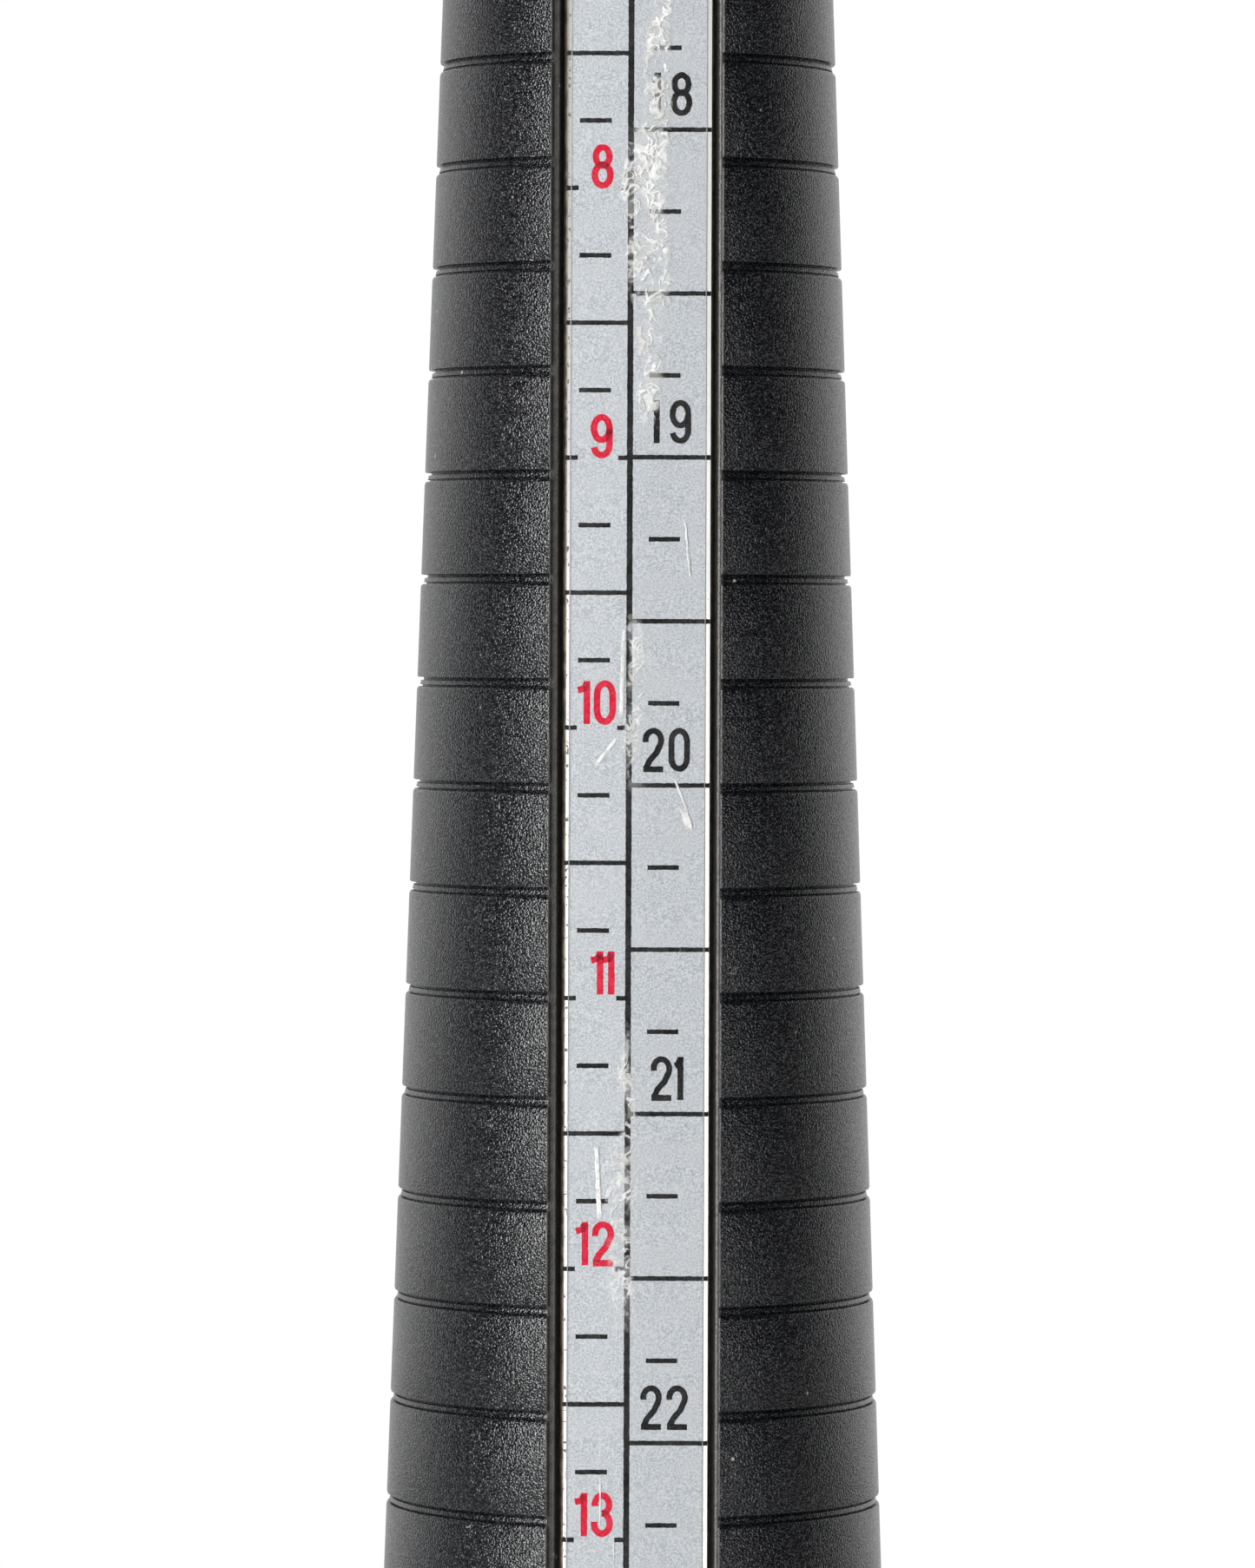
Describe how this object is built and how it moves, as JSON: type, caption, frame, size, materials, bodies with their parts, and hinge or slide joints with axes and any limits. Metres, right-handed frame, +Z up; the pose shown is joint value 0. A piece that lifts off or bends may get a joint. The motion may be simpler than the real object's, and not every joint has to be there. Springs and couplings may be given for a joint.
{
  "type": "ring mandrel",
  "caption": "Tapered black plastic ring mandrel with raised gauge bands, flat front and rear size scales under clear film, and a hollow screwed-on grip.",
  "frame": {"origin": "centre of the flat foot under the handle", "axes": "+Z up the mandrel's axis from the foot to the tip; -Y out of the front scale; +X to the right when the front scale is read with the tip up"},
  "size_m": [0.027, 0.027, 0.2871],
  "materials": {
    "black_plastic": "fine spark-eroded grain",
    "grip_plastic": "fine spark-eroded grain",
    "printed_metal": "satin silver with printed red and black sizes",
    "clear_film": "clear gloss, scuffed",
    "brass": "machined",
    "steel": "zinc plated"
  },
  "bodies": {
    "root": {"mandrel_cone": "black_plastic", "tip_plug": "black_plastic", "front_scale_strip": "printed_metal", "rear_scale_strip": "printed_metal", "front_cover_film": "clear_film", "rear_cover_film": "clear_film", "handle": "grip_plastic", "coupling_plug": "grip_plastic", "threaded_insert": "brass", "handle_screw": "steel", "screw_washer": "steel", "end_cap": "grip_plastic"}
  },
  "joints": []
}
